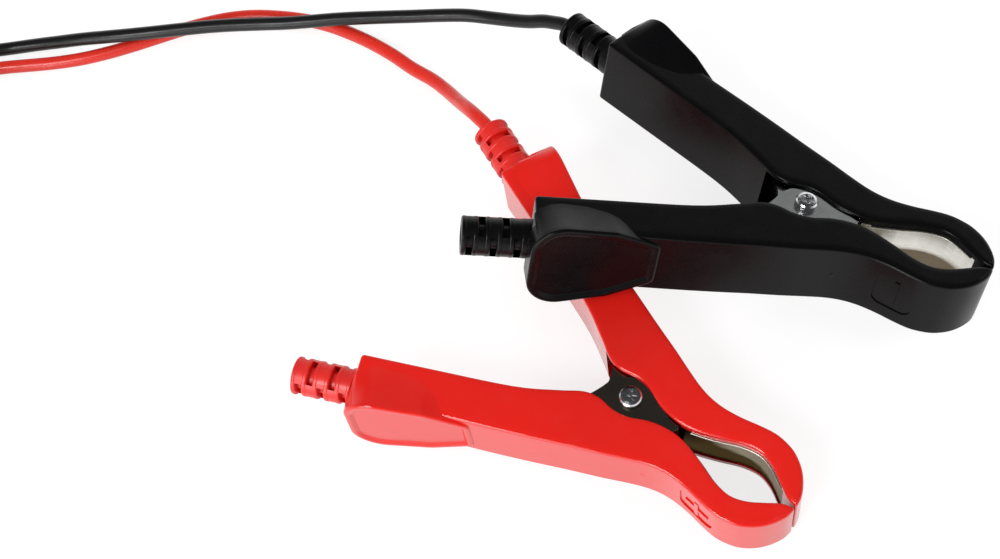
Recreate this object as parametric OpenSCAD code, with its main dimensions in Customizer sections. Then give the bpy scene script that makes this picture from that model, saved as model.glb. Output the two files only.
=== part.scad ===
// Battery charger lead set: two sprung battery clamps, their leads and a two-pole connector.
// Each clamp is drawn about its pivot: +x to the jaw tip, +y to the arm that carries the lead.

/* [Clamp covers] */
// Height of a handle at its rear end
handle_h = 24.8; // [22:0.1:28]
// Height of the jaw at its tip
jaw_h = 22.0; // [20.5:0.1:24]
// Height of the thumb pad at its widest
pad_h = 33.0; // [28:0.5:36]
// Outside diameter of the ribbed sleeve round the lead
sleeve_d = 12.3; // [10:0.1:13]
// Length of the ribbed sleeve behind a handle
sleeve_len = 21.8; // [18:0.1:26]
// How much shorter the lever arm is than the fixed arm
lever_short = 4.0; // [0:0.5:5]
// Slots along the ribbed sleeve
sleeve_slots = 5; // [3:1:5]

/* [Clamp metalwork] */
// Thickness of the pivot ears
ear_t = 1.0; // [0.8:0.1:1.1]
// Height of the outer ears' top face above the clamp's middle
ear_top = 10.0; // [9.6:0.1:10]
// Thickness of the steel web inside an arm
web_t = 1.2; // [1:0.1:1.2]
// Height of the jaw liner strip
liner_h = 17.0; // [14:0.5:17]
// Diameter of the pivot screw's shank
pivot_d = 4.0; // [3.8:0.1:4]
// Diameter of the pivot screw's head
head_d = 7.0; // [6.6:0.1:8]
// Wire diameter of the torsion spring
spring_wire = 1.4; // [1:0.1:1.5]

/* [Leads] */
// Outside diameter of a lead
lead_d = 4.8; // [4.4:0.1:4.8]
// Loops in the stored part of each lead
coil_loops = 2.25; // [2.25:1:4.25]
// Radius of the outermost loop, at the lead's middle
coil_r = 29; // [27:0.5:32]

/* [Connector] */
// Diameter of the round contacts
contact_d = 4.0; // [3.5:0.1:4.5]
// Distance between the two contacts
contact_pitch = 11.0; // [10.5:0.5:12]
// Width of the connector housing
housing_w = 23.0; // [22:0.5:26]
// Height of the connector housing
housing_h = 14.0; // [13:0.5:16]

/* [Hidden] */
$fn = 48;
running = 0.05;        // radial clearance of a shank in its hole
slot_gap = 0.05;       // room round the metalwork in its cover
// Places of the two clamps: pivot point and turn
red_at = [-8.1, -47.2, 13.83];
red_turn = [0, 2.7, -50];
black_at = red_at + [65.5, 42, 11.6];
black_turn = [-18, 6.5, -35];

// Outlines of one arm, in plan, from the rear end to the jaw tip
inner_points = [[-81, 39], [-56, 28.5], [-31.5, 18], [-19.5, 11], [-13, 6.8], [-8, 5.6], [-2, 6.3],
    [3, 5.6], [9, 3], [15, 1.8], [21, 2.1], [29, 4.6], [36, 7.3], [42, 8.2], [47, 6.8],
    [51.5, 4.1], [56, 1.2], [59, 0.3]];
outer_points = [[-42, 38.4], [-30, 33.8], [-18.5, 29.2], [-7.5, 24.6], [2, 20.8], [9, 17.8],
    [15, 15.4], [20, 14.1], [25, 13.7], [31, 14.2], [37, 15.3], [42, 15.9], [46, 15.5],
    [50, 14.3], [54, 11.7], [57, 8.4], [59.3, 4.2], [60, 0.3]];
rear_corner = [-75.5, 52.2];
// The steel web, in plan, from its tail in the handle to the throat
web_points = [[-50, 31.7], [-44, 29.2], [-32, 24], [-20, 18.8], [-8, 14], [2, 10.8], [9, 7.6],
    [14, 4.7], [17.4, 4]];
// An ear, in plan, from the web's rear end round the pivot to the throat and back
ear_points = [[-14.8, 16.6], [-14.6, 12], [-12, 8], [-10.2, 4], [-9.3, 1.6], [-8.7, -0.8],
    [-7.8, -2.4], [-6.2, -4.3], [-3.6, -5.9], [-1, -6.4], [1.3, -6.1], [4, -5.2], [6.7, -4],
    [12, -2], [16.8, -0.1], [17, 3.6], [9, 7.6], [2, 10.8], [-8, 14]];
throat_x = 15;         // where the web meets the jaw's own curve
liner_start_x = 18;
liner_end_x = 54;
jaw_wall = 2.7;        // depth of the rebate for the metal behind a jaw's cover edge
liner_back = 0.5;      // how far the liner stands back from the cover's edge
hollow_rear_x = -15.5; // rear end of the hollow round the spring
lining_t = 1;          // plastic over the web inside the hollow
arm_front_x = 60;
arm_rear_x = -81;
// The handle's own axis, from the middle of its rear face
handle_at = [-77.4, 45.3, 0];
handle_turn = -22.8;
// The thumb pad's outer face, from its rear to its front
pad_at = [-73.6, 57.1, 0];
pad_turn = -28.9;
lug_x = 33.5;          // terminal screw, along the handle's axis
lug_hole_r = 1.55;
washer_t = 0.5;
nut_t = 2.2;

lay_pitch = lead_d + 0.6;
lead_z = lead_d / 2;
tie_t = 1.2;
tie_w = 9;
coil_at = [-240.1, 123.8];
// Routes of the leads, from the clamp's sleeve to the coil
red_route = [[-29.5, 62, 18.4], [-30.8, 65.3, 18.5], [-32.8, 69.4, 17.9], [-34.5, 73.5, 16.1],
    [-36.1, 77.7, 13.4], [-38, 83.2, 9.6], [-40.7, 90.2, 6], [-44.8, 97.9, 3.6],
    [-50.8, 105.4, 2.6], [-56.3, 112.9, 2.4], [-62.8, 120.4, 2.4], [-69.3, 126.7, 2.4],
    [-76.8, 132.9, 2.4], [-84.8, 137.9, 2.4], [-93.3, 141.9, 2.4], [-102.3, 145.2, 2.4],
    [-111.3, 147.1, 2.4], [-120.8, 147.7, 2.4], [-130.3, 147.5, 2.4], [-139.8, 146.8, 2.4],
    [-149.3, 146.1, 2.4], [-158.8, 145.8, 2.4], [-168.3, 146.1, 2.4], [-177.8, 147.3, 2.4],
    [-186.8, 149, 2.4], [-196.3, 150.9, 2.4], [-207.8, 152.4, 2.6], [-219.3, 152.9, 3.3],
    [-230.3, 152.8, 3.6], [-235.3, 152.8, 3.6]];
black_route = [[5.3, 94.1, 19.9], [3.6, 96, 19.4], [1, 98.3, 18.3], [-2.6, 101.1, 16.9],
    [-7.3, 104, 14.7], [-13, 108.1, 12.3], [-19.8, 112.7, 10.4], [-27.8, 117.2, 9.2],
    [-36.3, 120.6, 8.2], [-45.3, 123.4, 7.7], [-54.8, 126.1, 7.6], [-64.3, 128.6, 7.7],
    [-73.8, 130.9, 7.8], [-82.8, 132.9, 7.6], [-91.3, 135, 7.3], [-100.3, 137.5, 7.2],
    [-109.8, 139.9, 7.4], [-119.3, 141.9, 7.7], [-128.8, 143.6, 7.8], [-138.3, 145.3, 7.8],
    [-147.3, 147.1, 7.6], [-156.8, 149.5, 6.9], [-165.8, 152.1, 5.8], [-174.3, 154.5, 4.4],
    [-183.8, 156.9, 3.2], [-193.3, 158.5, 2.8], [-201.8, 158.5, 4.4], [-211.3, 156.7, 8],
    [-220.8, 154.2, 12.3], [-230.3, 152.8, 14.4], [-235.3, 152.8, 14.4]];
tail_x = coil_at.x - coil_r;
connector_at = [tail_x, 78, housing_h / 2];
red_tail_route = [[tail_x, 119, 9], [tail_x, 114, 9], [tail_x - 2, 105, 8.4],
    [tail_x - 4.5, 95, 7.3], [tail_x - 5.5, 84, 7], [tail_x - 5.5, 78, 7]];
black_tail_route = [[tail_x, 119, 19.8], [tail_x, 114, 19.8], [tail_x + 1.2, 106, 17.6],
    [tail_x + 3.4, 97.5, 12.6], [tail_x + 5.2, 89, 8.3], [tail_x + 5.5, 82, 7], [tail_x + 5.5, 78, 7]];
coil_low_z = lead_z + tie_t;
// The connector's lengths along its own axis, from where the leads enter
body_from = 11;
body_to = 35;
nose_to = 47;
contact_root = body_to - 8;
contact_side = contact_pitch / 2;
socket_r = 3;

red_plastic = [0.86, 0.10, 0.08];
black_plastic = [0.07, 0.07, 0.08];
zinc = [0.75, 0.76, 0.78];
nickel = [0.82, 0.79, 0.70];
steel = [0.62, 0.63, 0.65];
brass = [0.80, 0.66, 0.32];
copper = [0.72, 0.45, 0.30];

// ---- Curves ----

function unit(v) = v / norm(v);

// A smooth curve through the points, with a few steps from one to the next.
function between(a, b, c, d, t) =
    (2 * b + (c - a) * t + (2 * a - 5 * b + 4 * c - d) * t * t + (3 * b - a - 3 * c + d) * t * t * t) / 2;
function smooth(points, steps) = let (last = len(points) - 1) concat(
    [for (i = [0 : last - 1]) let (
            a = i == 0 ? 2 * points[0] - points[1] : points[i - 1],
            d = i == last - 1 ? 2 * points[last] - points[last - 1] : points[i + 2])
        for (k = [0 : steps - 1]) between(a, points[i], points[i + 1], d, k / steps)],
    [points[last]]);

// The same curve moved sideways, to its left.
function along(path, i) = unit(path[min(i + 1, len(path) - 1)] - path[max(i - 1, 0)]);
function shifted(path, by) = [for (i = [0 : len(path) - 1])
    let (t = along(path, i)) path[i] + by * [-t.y, t.x]];
function reversed(path) = [for (i = [len(path) - 1 : -1 : 0]) path[i]];
function strip(path, near, far) = concat(shifted(path, near), reversed(shifted(path, far)));

inner_edge = smooth(inner_points, 2);
outer_edge = smooth(outer_points, 2);
web_line = smooth(web_points, 2);
jaw_edge = [for (p = inner_edge) if (p.x > throat_x - 0.1 && p.x < liner_end_x) p];
gap_edge = [for (p = inner_edge) if (p.x > hollow_rear_x && p.x < throat_x + 5) p];
hollow_web = [for (p = web_line) if (p.x > hollow_rear_x) p];
// Top faces of the lever's and the fixed frame's ears, one over the other
outer_ear = ear_top;
inner_ear = ear_top - ear_t - 0.2;
lining_top = inner_ear - ear_t - slot_gap;

// ---- Round tubes along a route ----

// One ring of the tube, upright in a plane square to the route.
function ring(at, t, r, sides) = let (side = unit(cross(t, [0, 0, 1])), up = cross(side, t))
    [for (i = [0 : sides - 1]) let (a = 90 + 360 * i / sides) at + r * (cos(a) * side + sin(a) * up)];

module tube(path, d, sides) {
    n = len(path);
    points = [for (i = [0 : n - 1]) each ring(path[i], along(path, i), d / 2, sides)];
    walls = [for (i = [0 : n - 2], k = [0 : sides - 1]) let (
            a = i * sides + k, b = i * sides + (k + 1) % sides)
        each [[a, b, a + sides], [b, b + sides, a + sides]]];
    caps = [for (k = [1 : sides - 2])
        each [[0, k + 1, k], [(n - 1) * sides, (n - 1) * sides + k, (n - 1) * sides + k + 1]]];
    polyhedron(points, concat(walls, caps));
}

// Stored loops: in on the lower layer and out again on the upper one.
half_loops = coil_loops / 2;
function rise(t) = let (s = min(max((t - half_loops + 0.25) / 0.5, 0), 1)) s * s * (3 - 2 * s);
function loop_r(t) = coil_r - lay_pitch * min(t, coil_loops - t);
function loop_at(t, low_z) = [coil_at.x + loop_r(t) * cos(90 + 360 * t),
    coil_at.y + loop_r(t) * sin(90 + 360 * t), low_z + lay_pitch * rise(t)];
function loops(low_z) = let (first = loop_at(0, low_z), last = loop_at(coil_loops, low_z)) concat(
    [first + [lead_d, 0, 0]],
    [for (i = [0 : 24 * coil_loops]) loop_at(i / 24, low_z)],
    [last - [0, lead_d, 0]]);
red_loops = loops(coil_low_z);
black_loops = loops(coil_low_z + 2 * lay_pitch);

// ---- Places ----

module place_red() {
    translate(red_at) rotate(red_turn) children();
}
module place_black() {
    translate(black_at) rotate(black_turn) children();
}
module lever_side() {
    mirror([0, 1, 0]) children();
}
module on_handle(short = 0) {
    translate(handle_at) rotate([0, 0, handle_turn]) translate([short, 0, 0]) children();
}
module on_pad(short) {
    translate(short * [cos(handle_turn), sin(handle_turn), 0] + pad_at) rotate([0, 0, pad_turn]) children();
}
module rod(from, to, r) {
    translate([from, 0, 0]) rotate([0, 90, 0]) cylinder(h = to - from, r = r);
}

// ---- Clamp covers ----

// The arm's outline, its height falling from the handle to the jaw.
module arm_block(short) {
    rear = handle_h / 2;
    front = jaw_h / 2;
    intersection() {
        linear_extrude(2 * handle_h, center = true)
            polygon(concat(inner_edge, reversed(outer_edge), [rear_corner]));
        rotate([90, 0, 0]) linear_extrude(200, center = true)
            polygon([[arm_rear_x - 1, -rear], [arm_front_x + 1, -front],
                [arm_front_x + 1, front], [arm_rear_x - 1, rear]]);
        on_handle(short) translate([0, -100, -50]) cube([200, 200, 100]);
    }
}

// The thumb pad: a drop-shaped face, run back into the top and bottom of the arm.
module thumb_pad(short) {
    half = pad_h / 2;
    on_pad(short) hull() {
        for (s = [-1, 1]) {
            translate([10, -1, s * (half - 10)]) rotate([-90, 0, 0]) cylinder(h = 1, r = 10, $fn = 24);
            translate([24, -1, s * (half - 8)]) rotate([-90, 0, 0]) cylinder(h = 1, r = 6, $fn = 24);
            translate([37.5, -1, s * 6.5]) rotate([-90, 0, 0]) cylinder(h = 1, r = 2.5, $fn = 24);
        }
        linear_extrude(handle_h - 0.8, center = true)
            polygon([[0, -3], [3, -13], [12, -15.5], [26, -12.5], [33, -8], [38, -2]]);
    }
}

// The ribbed sleeve: slots right through it, each turned a quarter from the last.
module sleeve(short) {
    slot_w = 1.9;
    slot_step = 3.7;
    first_slot = 1.6;
    bridge = 1.9;
    on_handle(short) difference() {
        rod(-sleeve_len, 3, sleeve_d / 2);
        for (i = [0 : sleeve_slots - 1])
            translate([first_slot - sleeve_len + slot_step * i, 0, 0]) rotate([90 * (i % 2) + 90, 0, 0])
                translate([0, -sleeve_d / 2 + bridge, -sleeve_d])
                    cube([slot_w, sleeve_d - 2 * bridge, 2 * sleeve_d]);
    }
}

module arm_shell(short) {
    difference() {
        union() {
            arm_block(short);
            thumb_pad(short);
            sleeve(short);
        }
        // rebate for the web and the liner in the jaw
        linear_extrude(liner_h + 0.2, center = true) polygon(strip(jaw_edge, -3, jaw_wall + slot_gap));
        // slot for the web in the handle, and the hollow round the spring
        linear_extrude(2 * ear_top + slot_gap, center = true)
            polygon(strip(web_line, -web_t / 2 - slot_gap, web_t / 2 + slot_gap));
        difference() {
            linear_extrude(2 * ear_top + slot_gap, center = true)
                polygon(concat([[hollow_rear_x, 0], [hollow_rear_x, lookup(hollow_rear_x, web_line)]],
                    hollow_web, reversed(shifted(gap_edge, -3))));
            // between the ears a lining is left over the web
            linear_extrude(2 * lining_top, center = true)
                polygon(strip(web_line, -web_t / 2 - lining_t, 0.1));
        }
        // bore for the lead, and the chamber round its terminal
        on_handle(short) rod(-sleeve_len - 1, 16, lead_d / 2 + running);
        if (short == 0) on_handle() translate([14, -5, -5.5]) cube([26, 8.5, 11]);
    }
}

// ---- Clamp metalwork ----

// One steel frame: a web along the arm and two ears that reach out to the pivot.
module arm_frame(ear_z) {
    difference() {
        union() {
            linear_extrude(2 * ear_z, center = true) polygon(strip(web_line, -web_t / 2, web_t / 2));
            linear_extrude(liner_h, center = true) polygon(strip(jaw_edge, jaw_wall - web_t, jaw_wall));
            for (z = [-ear_z, ear_z - ear_t])
                translate([0, 0, z]) linear_extrude(ear_t) polygon(ear_points);
        }
        cylinder(h = 3 * ear_z, r = pivot_d / 2 + running, center = true);
        on_handle() translate([lug_x, 0, 0]) rotate([90, 0, 0]) cylinder(h = 12, r = lug_hole_r, center = true);
    }
}

// The plated strip that lines the inside of a jaw.
module jaw_liner() {
    intersection() {
        linear_extrude(liner_h, center = true) polygon(strip(jaw_edge, liner_back, jaw_wall - web_t));
        translate([liner_start_x, -50, -50]) cube(100);
    }
}

module pivot_screw() {
    head_z = ear_top + washer_t;
    difference() {
        union() {
            translate([0, 0, -ear_top - nut_t]) cylinder(h = head_z + ear_top + nut_t, r = pivot_d / 2);
            translate([0, 0, head_z]) rotate_extrude()
                polygon([[0, 0], [head_d / 2, 0], [head_d / 2, 1.1], [head_d / 2 - 0.4, 1.6],
                    [head_d / 2 - 1.3, 1.9], [0, 1.95]]);
        }
        for (a = [0, 90]) rotate([0, 0, a + 30])
            translate([-2, -0.45, head_z + 0.8]) cube([4, 0.9, 2]);
    }
}

module pivot_washer() {
    translate([0, 0, ear_top]) difference() {
        cylinder(h = washer_t, r = head_d / 2 + 0.1);
        translate([0, 0, -1]) cylinder(h = 3, r = pivot_d / 2 + running);
    }
}

module pivot_nut() {
    translate([0, 0, -ear_top - nut_t]) difference() {
        cylinder(h = nut_t, r = 4.04, $fn = 6);
        translate([0, 0, -1]) cylinder(h = 4, r = pivot_d / 2 + running);
    }
}

// The torsion spring: a coil round the screw, with one leg along each arm.
module torsion_spring() {
    coil_mean = 4.15;
    leg = 20;
    leg_turn = 147.7;
    full = 5;
    sweep_angle = 360 * full + 2 * (leg_turn - 90);
    climb = 11.6;
    steps = 8 * full + 3;
    leg_end = leg * [cos(leg_turn), sin(leg_turn)];
    start = coil_mean * [cos(leg_turn - 90), sin(leg_turn - 90)];
    coil = [for (i = [0 : steps]) let (a = leg_turn - 90 - sweep_angle * i / steps)
        [coil_mean * cos(a), coil_mean * sin(a), climb * (0.5 - i / steps)]];
    path = concat([[start.x + leg_end.x, start.y + leg_end.y, climb / 2],
            [start.x + leg_end.x / 3, start.y + leg_end.y / 3, climb / 2]],
        coil,
        [[start.x + leg_end.x / 3, -start.y - leg_end.y / 3, -climb / 2],
            [start.x + leg_end.x, -start.y - leg_end.y, -climb / 2]]);
    tube(path, spring_wire, 6);
}

// ---- The lead's end inside the handle ----

module cable_end() {
    on_handle() {
        rod(-sleeve_len, 14, lead_d / 2);
        rod(13, 23, 1.35);
    }
}

module cable_lug() {
    on_handle() difference() {
        union() {
            rod(16, 25, 2.3);
            translate([24, -1.25, -3.5]) cube([14, 0.8, 7]);
        }
        rod(15, 23.5, 1.4);
        translate([lug_x, 0, 0]) rotate([90, 0, 0]) cylinder(h = 12, r = lug_hole_r, center = true);
    }
}

module lug_screw() {
    on_handle() translate([lug_x, 0, 0]) rotate([90, 0, 0]) {
        translate([0, 0, -1.3]) cylinder(h = 1.75, r = 2.8);
        cylinder(h = 4.2, r = 1.5);
    }
}

// ---- Storage tie and connector ----

module rounded_rect(size, r) {
    square([size.x - 2 * r, size.y], center = true);
    square([size.x, size.y - 2 * r], center = true);
    for (x = [-1, 1], y = [-1, 1])
        translate([x * (size.x / 2 - r), y * (size.y / 2 - r)]) circle(r = r);
}

// A flat strap round the stored loops.
module strap() {
    turns_r = [for (k = [0 : coil_loops - 1]) loop_r(k + 0.5)];
    bundle = [max(turns_r) - min(turns_r) + lead_d + 0.8, 3 * lay_pitch + lead_d + 0.2];
    middle = (max(turns_r) + min(turns_r)) / 2;
    translate([coil_at.x, coil_at.y - middle, tie_t + bundle.y / 2]) rotate([90, 0, 90])
        linear_extrude(tie_w, center = true) difference() {
            rounded_rect(bundle + 2 * [tie_t, tie_t], 1 + tie_t);
            rounded_rect(bundle, 1);
        }
}

module on_connector() {
    translate(connector_at) rotate([0, 0, -90]) children();
}
module housing() {
    mouth_r = 4;
    nose_r = 4.7;
    difference() {
        union() {
            translate([(body_from + body_to) / 2, 0, 0])
                linear_extrude(housing_h, center = true)
                    rounded_rect([body_to - body_from, housing_w], 2.5);
            hull() {
                for (y = [-contact_side, contact_side]) translate([0, y, 0]) rod(0, 1, mouth_r);
                translate([body_from, -housing_w / 2 + 2, -housing_h / 2 + 1])
                    cube([1, housing_w - 4, housing_h - 2]);
            }
            translate([0, -contact_side, 0]) rod(body_to - 1, nose_to, nose_r);
        }
        translate([0, -contact_side, 0]) rod(contact_root, nose_to + 1, socket_r);
        translate([0, contact_side, 0]) rod(contact_root, body_to + 1, socket_r);
    }
}
module pin() {
    r = contact_d / 2;
    translate([0, contact_side, 0]) {
        rod(contact_root, body_to, socket_r);
        rod(body_to - 1, nose_to - 1, r);
        translate([nose_to - 1, 0, 0]) rotate([0, 90, 0]) cylinder(h = 1, r1 = r, r2 = r - 0.8);
    }
}
module socket() {
    translate([0, -contact_side, 0]) difference() {
        rod(contact_root, nose_to - 0.5, socket_r);
        rod(body_to - 2, nose_to + 1, contact_d / 2 + running);
    }
}

// ---- Nodes ----

module red_fixed_arm() { color(red_plastic) place_red() arm_shell(0); }
module red_lever_arm() { color(red_plastic) place_red() lever_side() arm_shell(lever_short); }
module red_fixed_frame() { color(zinc) place_red() arm_frame(inner_ear); }
module red_lever_frame() { color(zinc) place_red() lever_side() arm_frame(outer_ear); }
module red_fixed_liner() { color(nickel) place_red() jaw_liner(); }
module red_lever_liner() { color(nickel) place_red() lever_side() jaw_liner(); }
module red_pivot_screw() { color(steel) place_red() pivot_screw(); }
module red_pivot_washer() { color(zinc) place_red() pivot_washer(); }
module red_pivot_nut() { color(steel) place_red() pivot_nut(); }
module red_spring() { color(steel) place_red() torsion_spring(); }
module red_cable_end() { color(red_plastic) place_red() cable_end(); }
module red_cable_lug() { color(copper) place_red() cable_lug(); }
module red_lug_screw() { color(steel) place_red() lug_screw(); }

module black_fixed_arm() { color(black_plastic) place_black() arm_shell(0); }
module black_lever_arm() { color(black_plastic) place_black() lever_side() arm_shell(lever_short); }
module black_fixed_frame() { color(zinc) place_black() arm_frame(inner_ear); }
module black_lever_frame() { color(zinc) place_black() lever_side() arm_frame(outer_ear); }
module black_fixed_liner() { color(nickel) place_black() jaw_liner(); }
module black_lever_liner() { color(nickel) place_black() lever_side() jaw_liner(); }
module black_pivot_screw() { color(steel) place_black() pivot_screw(); }
module black_pivot_washer() { color(zinc) place_black() pivot_washer(); }
module black_pivot_nut() { color(steel) place_black() pivot_nut(); }
module black_spring() { color(steel) place_black() torsion_spring(); }
module black_cable_end() { color(black_plastic) place_black() cable_end(); }
module black_cable_lug() { color(copper) place_black() cable_lug(); }
module black_lug_screw() { color(steel) place_black() lug_screw(); }

module red_lead() { color(red_plastic) tube(red_route, lead_d, 8); }
module red_coil() { color(red_plastic) tube(red_loops, lead_d, 6); }
module red_tail() { color(red_plastic) tube(red_tail_route, lead_d, 8); }
module black_lead() { color(black_plastic) tube(black_route, lead_d, 8); }
module black_coil() { color(black_plastic) tube(black_loops, lead_d, 6); }
module black_tail() { color(black_plastic) tube(black_tail_route, lead_d, 8); }
module coil_tie() { color([0.2, 0.2, 0.22]) strap(); }
module connector_housing() { color(black_plastic) on_connector() housing(); }
module connector_pin() { color(brass) on_connector() pin(); }
module connector_socket() { color(brass) on_connector() socket(); }

red_fixed_arm();
red_lever_arm();
red_fixed_frame();
red_lever_frame();
red_fixed_liner();
red_lever_liner();
red_pivot_screw();
red_pivot_washer();
red_pivot_nut();
red_spring();
red_cable_end();
red_cable_lug();
red_lug_screw();
black_fixed_arm();
black_lever_arm();
black_fixed_frame();
black_lever_frame();
black_fixed_liner();
black_lever_liner();
black_pivot_screw();
black_pivot_washer();
black_pivot_nut();
black_spring();
black_cable_end();
black_cable_lug();
black_lug_screw();
red_lead();
red_coil();
red_tail();
black_lead();
black_coil();
black_tail();
coil_tie();
connector_housing();
connector_pin();
connector_socket();
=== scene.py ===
import math
import bmesh
import bpy
from mathutils import Euler, Matrix, Vector


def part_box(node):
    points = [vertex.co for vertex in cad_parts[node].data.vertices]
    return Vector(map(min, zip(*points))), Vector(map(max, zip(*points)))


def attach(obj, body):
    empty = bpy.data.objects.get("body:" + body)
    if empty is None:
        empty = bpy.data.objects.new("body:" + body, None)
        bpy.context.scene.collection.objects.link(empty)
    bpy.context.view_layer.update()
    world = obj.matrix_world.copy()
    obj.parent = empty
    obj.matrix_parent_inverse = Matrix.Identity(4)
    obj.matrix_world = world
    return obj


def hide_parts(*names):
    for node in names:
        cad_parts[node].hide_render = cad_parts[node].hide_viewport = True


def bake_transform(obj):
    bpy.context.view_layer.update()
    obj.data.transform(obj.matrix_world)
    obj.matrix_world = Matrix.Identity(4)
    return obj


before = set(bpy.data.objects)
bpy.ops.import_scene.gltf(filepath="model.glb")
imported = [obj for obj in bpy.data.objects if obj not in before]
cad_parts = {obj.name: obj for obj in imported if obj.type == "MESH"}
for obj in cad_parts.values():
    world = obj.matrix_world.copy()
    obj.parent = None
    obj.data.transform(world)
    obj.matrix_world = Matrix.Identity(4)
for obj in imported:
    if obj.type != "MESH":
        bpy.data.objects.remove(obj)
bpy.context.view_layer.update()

scene = bpy.context.scene

# ---- Camera ----
# A 67 mm view from above and in front of the two clamps, level with neither:
# the rows are the camera's right, down and forward directions.

camera = bpy.data.objects.new("camera", bpy.data.cameras.new("camera"))
scene.collection.objects.link(camera)
camera.data.sensor_width = 36
camera.data.lens = 67.2
right = (0.9691, -0.2086, -0.1313)
down = (-0.2458, -0.857, -0.453)
forward = (-0.018, 0.4713, -0.8818)
camera.matrix_world = Matrix.Translation((-0.0273, -0.2766, 0.54763)) @ Matrix(
    (right, [-x for x in down], [-x for x in forward])).transposed().to_4x4()
scene.camera = camera

# ---- Leads ----
# Two single-core charging leads in smooth, glossy PVC, red and black. Each leaves its clamp's
# sleeve, lies along the floor, goes twice round the stored loops and ends in the connector.
# The routes and the loops are in millimetres.

lead_d = 0.0048
red_route = [
    (-29.5, 62, 18.4), (-30.8, 65.3, 18.5), (-32.8, 69.4, 17.9), (-34.5, 73.5, 16.1),
    (-36.1, 77.7, 13.4), (-38, 83.2, 9.6), (-40.7, 90.2, 6), (-44.8, 97.9, 3.6),
    (-50.8, 105.4, 2.6), (-56.3, 112.9, 2.4), (-62.8, 120.4, 2.4), (-69.3, 126.7, 2.4),
    (-76.8, 132.9, 2.4), (-84.8, 137.9, 2.4), (-93.3, 141.9, 2.4), (-102.3, 145.2, 2.4),
    (-111.3, 147.1, 2.4), (-120.8, 147.7, 2.4), (-130.3, 147.5, 2.4), (-139.8, 146.8, 2.4),
    (-149.3, 146.1, 2.4), (-158.8, 145.8, 2.4), (-168.3, 146.1, 2.4), (-177.8, 147.3, 2.4),
    (-186.8, 149, 2.4), (-196.3, 150.9, 2.4), (-207.8, 152.4, 2.6), (-219.3, 152.9, 3.3),
    (-230.3, 152.8, 3.6)]
black_route = [
    (5.83, 93.31, 19.97), (3.6, 96, 19.4), (1, 98.3, 18.3), (-2.6, 101.1, 16.9), (-7.3, 104, 14.7),
    (-13, 108.1, 12.3), (-19.8, 112.7, 10.4), (-27.8, 117.2, 9.2), (-36.3, 120.6, 8.2),
    (-45.3, 123.4, 7.7), (-54.8, 126.1, 7.6), (-64.3, 128.6, 7.7), (-73.8, 130.9, 7.8),
    (-82.8, 132.9, 7.6), (-91.3, 135, 7.3), (-100.3, 137.5, 7.2), (-109.8, 139.9, 7.4),
    (-119.3, 141.9, 7.7), (-128.8, 143.6, 7.8), (-138.3, 145.3, 7.8), (-147.3, 147.1, 7.6),
    (-156.8, 149.5, 6.9), (-165.8, 152.1, 5.8), (-174.3, 154.5, 4.4), (-183.8, 156.9, 3.2),
    (-193.3, 158.5, 2.8), (-201.8, 158.5, 4.4), (-211.3, 156.7, 8), (-220.8, 154.2, 12.3),
    (-230.3, 152.8, 14.4)]
red_tail_route = [
    (-269.1, 114, 9), (-271.1, 105, 8.4), (-273.6, 95, 7.3), (-274.6, 84, 7), (-274.6, 78, 7)]
black_tail_route = [
    (-269.1, 114, 19.8), (-267.9, 106, 17.6), (-265.7, 97.5, 12.6), (-263.9, 89, 8.3),
    (-263.6, 82, 7), (-263.6, 78, 7)]
coil_x, coil_y, coil_r, coil_loops, lay_pitch = -240.1, 123.8, 29, 2.25, 5.4
red_low, black_low = 3.6, 14.4


def smooth_curve(points, steps):
    """A curve through all the points, with a few short steps from one to the next."""
    points = [Vector(p) for p in points]
    ends = [2 * points[0] - points[1]] + points + [2 * points[-1] - points[-2]]
    curve = []
    for a, b, c, d in zip(ends, ends[1:], ends[2:], ends[3:]):
        for k in range(steps):
            t = k / steps
            curve.append((2 * b + (c - a) * t + (2 * a - 5 * b + 4 * c - d) * t * t
                          + (3 * b - a - 3 * c + d) * t ** 3) / 2)
    return curve + [points[-1]]


def stored_loops(low_z):
    """In on the lower layer, a climb over half a turn, and out again on the upper one."""
    points = []
    turn_steps = 24
    for i in range(int(turn_steps * coil_loops) + 1):
        t = i / turn_steps
        climbed = min(max((t - coil_loops / 2 + 0.25) / 0.5, 0), 1)
        r = coil_r - lay_pitch * min(t, coil_loops - t)
        a = math.tau * (t + 0.25)
        z = low_z + lay_pitch * climbed * climbed * (3 - 2 * climbed)
        points.append((coil_x + r * math.cos(a), coil_y + r * math.sin(a), z))
    return points


def round_angles(count):
    return [math.tau * k / count for k in range(count)]


def way_at(line, i, closed=False):
    """The way of the line at its point i, from the point before to the point after."""
    if closed:
        return (line[(i + 1) % len(line)] - line[i - 1]).normalized()
    return (line[min(i + 1, len(line) - 1)] - line[max(i - 1, 0)]).normalized()


def join_rings(mesh, rings, closed=False, slot=0):
    """Faces from each ring to the next. The last meets the first, or both get a flat end."""
    for a, b in zip(rings, rings[1:] + (rings[:1] if closed else [])):
        for k in range(len(a)):
            mesh.faces.new((a[k - 1], b[k - 1], b[k], a[k])).material_index = slot
    if not closed:
        for end in (rings[0], rings[-1][::-1]):
            mesh.faces.new(end).material_index = slot


def add_tube(mesh, path, radius, sides, slot=0):
    """A round tube along the path. radius is a number, or a list with one for each point."""
    path = [Vector(p) for p in path]
    side = None
    rings = []
    for i, point in enumerate(path):
        along = way_at(path, i)
        if side is None:
            side = along.cross((0, 0, 1)) if abs(along.z) < 0.9 else along.cross((0, 1, 0))
        side = (side - along * side.dot(along)).normalized()
        up = side.cross(along)
        r = radius[i] if isinstance(radius, list) else radius
        rings.append([mesh.verts.new(point + r * (math.cos(a) * side + math.sin(a) * up))
                      for a in round_angles(sides)])
    join_rings(mesh, rings, slot=slot)


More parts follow.
